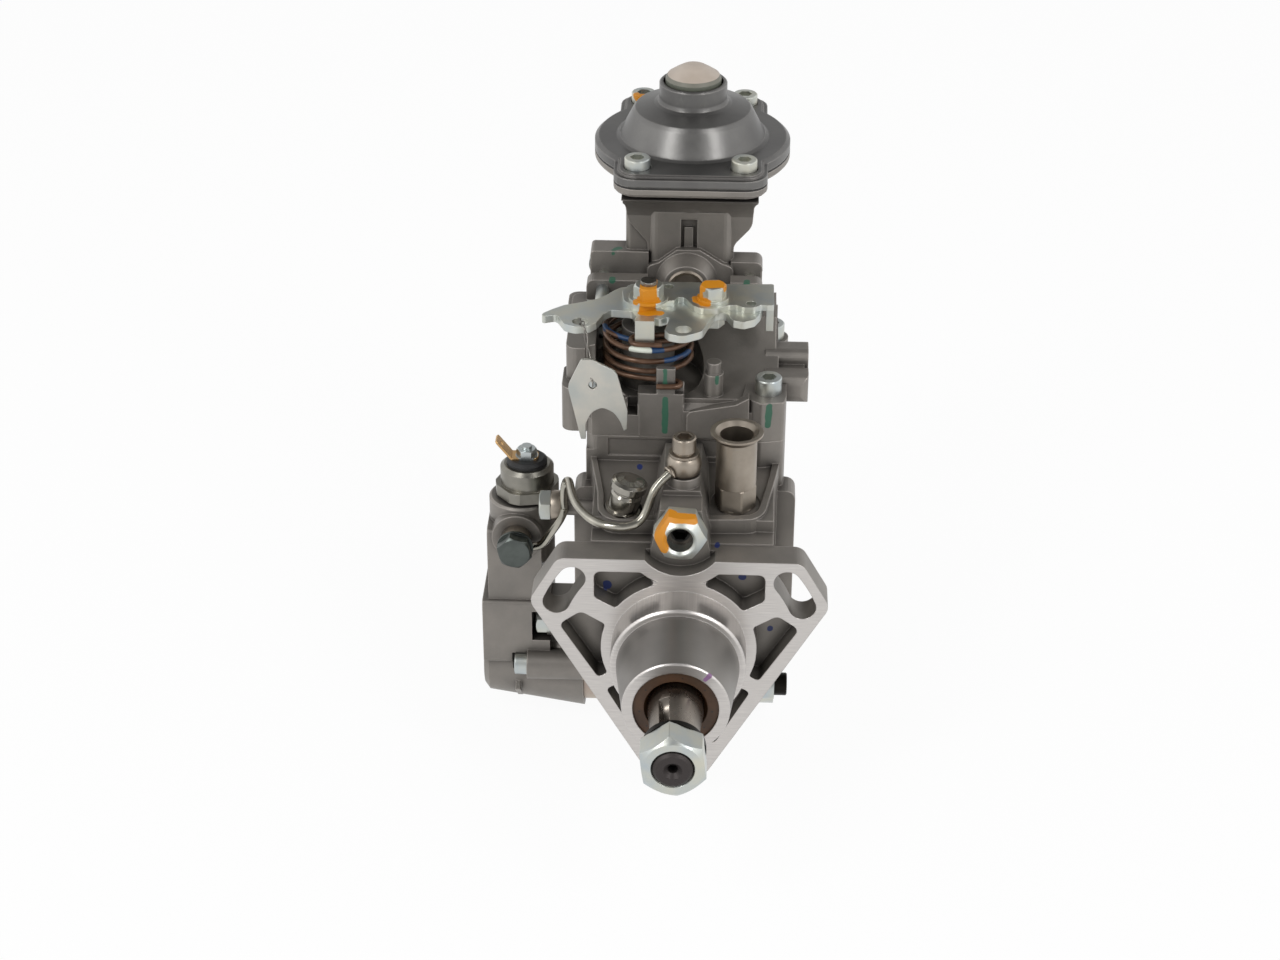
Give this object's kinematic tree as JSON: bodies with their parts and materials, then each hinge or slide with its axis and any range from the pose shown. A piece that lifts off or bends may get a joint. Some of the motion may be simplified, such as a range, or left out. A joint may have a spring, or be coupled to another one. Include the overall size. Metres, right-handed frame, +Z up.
{
  "type": "diesel injection pump",
  "caption": "Distributor type diesel injection pump with triangular flange, tapered drive shaft, throttle lever, boost compensator and cold start unit.",
  "frame": {"origin": "where the drive shaft's axis meets the front face of the mounting flange", "axes": "+Y along the drive shaft towards the delivery side, +Z up, +X to the right seen from the drive end"},
  "size_m": [0.1328, 0.2608, 0.2443],
  "materials": {
    "cast_aluminium": "as cast, matte grey",
    "cover_aluminium": "die cast, darker and smoother",
    "zinc": "bright zinc plating",
    "dark_zinc": "dark zinc plating",
    "steel": "ground and oiled",
    "nickel": "nickel plated, slightly brownish",
    "black_steel": "black oxide",
    "spring_steel": "oiled spring wire",
    "copper_wire": "brown coated spring wire",
    "brass": "satin",
    "bronze": "bearing bronze",
    "pink_zinc": "reddish passivated plate",
    "seal_rubber": "brown fluoro rubber",
    "membrane": "fabric reinforced rubber",
    "cap_plastic": "pale transport plastic",
    "black_plastic": "moulded insulator"
  },
  "bodies": {
    "housing": {"pump_housing": "cast_aluminium", "drive_bush": "bronze", "shaft_seal": "seal_rubber", "vane_ring": "steel", "governor_cover": "cast_aluminium", "cover_screws": "zinc", "core_plug": "nickel", "boost_cover": "cover_aluminium", "boost_cover_screws": "zinc", "boost_cap": "cap_plastic", "diaphragm": "membrane", "distributor_head": "steel", "head_screws": "zinc", "delivery_valve_holders": "zinc", "head_centre_plug": "zinc", "shutoff_solenoid": "zinc", "inlet_fitting": "nickel", "pressure_valve": "steel", "governor_shaft": "steel", "governor_shaft_nut": "zinc", "top_banjo_bolt": "nickel", "fuel_pipe": "nickel", "side_banjo_bolt": "zinc", "lower_banjo_bolt": "dark_zinc", "cold_start_housing": "cast_aluminium", "cold_start_solenoid": "steel", "solenoid_insulator": "black_plastic", "solenoid_terminal": "brass", "timing_spacer": "pink_zinc", "timing_cover": "zinc", "timing_screws": "black_steel", "cold_start_screws": "zinc", "stop_screws": "zinc", "full_load_screw": "zinc", "timing_spring": "spring_steel", "plunger_springs": "spring_steel", "return_spring": "copper_wire"},
    "drive": {"drive_shaft": "steel", "shaft_nut": "zinc", "spring_washer": "black_steel", "vane_rotor": "steel", "drive_gear": "steel", "cross_coupling": "steel"},
    "governor": {"governor_cage": "steel", "flyweights": "steel"},
    "cam": {"cam_plate": "steel", "plunger": "steel"},
    "sleeve": {"governor_sleeve": "steel"},
    "arm": {"governor_lever": "steel"},
    "collar": {"control_collar": "steel"},
    "timer": {"timing_piston": "steel"},
    "ring": {"roller_ring": "steel", "rollers": "steel"},
    "lever": {"control_lever": "zinc", "upper_lever_plate": "zinc", "lever_nut": "zinc", "clamp_bolt": "zinc", "control_shaft": "steel", "tag_plate": "zinc"},
    "pin": {"boost_pin": "steel"}
  },
  "joints": [
    {"name": "drive_spin", "type": "hinge", "parent": "housing", "child": "drive", "pos_m": [0, 0, 0], "axis": [0, 1, 0], "continuous": true},
    {"name": "governor_spin", "type": "hinge", "parent": "housing", "child": "governor", "pos_m": [0, 0, 0.048], "axis": [0, 1, 0], "continuous": true},
    {"name": "plunger_stroke", "type": "slide", "parent": "drive", "child": "cam", "axis": [0, 1, 0], "range_m": [0, 0.0025], "deforming": ["plunger_springs"]},
    {"name": "sleeve_travel", "type": "slide", "parent": "housing", "child": "sleeve", "axis": [0, 1, 0], "range_m": [0, 0.002]},
    {"name": "arm_tilt", "type": "hinge", "parent": "housing", "child": "arm", "pos_m": [0, 0.1023, 0.034], "axis": [-1, 0, 0], "range_deg": [0, 8.5]},
    {"name": "collar_travel", "type": "slide", "parent": "housing", "child": "collar", "axis": [0, -1, 0], "range_m": [0, 0.0035]},
    {"name": "timing_travel", "type": "slide", "parent": "housing", "child": "timer", "axis": [-1, 0, 0], "range_m": [0, 0.008], "deforming": ["timing_spring"]},
    {"name": "ring_turn", "type": "hinge", "parent": "housing", "child": "ring", "pos_m": [0, 0, 0], "axis": [0, 1, 0], "range_deg": [0, 9.5]},
    {"name": "throttle", "type": "hinge", "parent": "housing", "child": "lever", "pos_m": [-0.0145, 0.076, 0], "axis": [0, 0, 1], "range_deg": [0, 24], "deforming": ["return_spring"]},
    {"name": "boost_stroke", "type": "slide", "parent": "housing", "child": "pin", "axis": [0, 0, -1], "range_m": [0, 0.006]}
  ],
  "couplings": [
    {"joint": "governor_spin", "follows": "drive_spin", "ratio": -1.4615},
    {"joint": "arm_tilt", "follows": "sleeve_travel", "rad_per_m": 71.429},
    {"joint": "collar_travel", "follows": "sleeve_travel", "ratio": 1.7143},
    {"joint": "ring_turn", "follows": "timing_travel", "rad_per_m": 20.202}
  ]
}
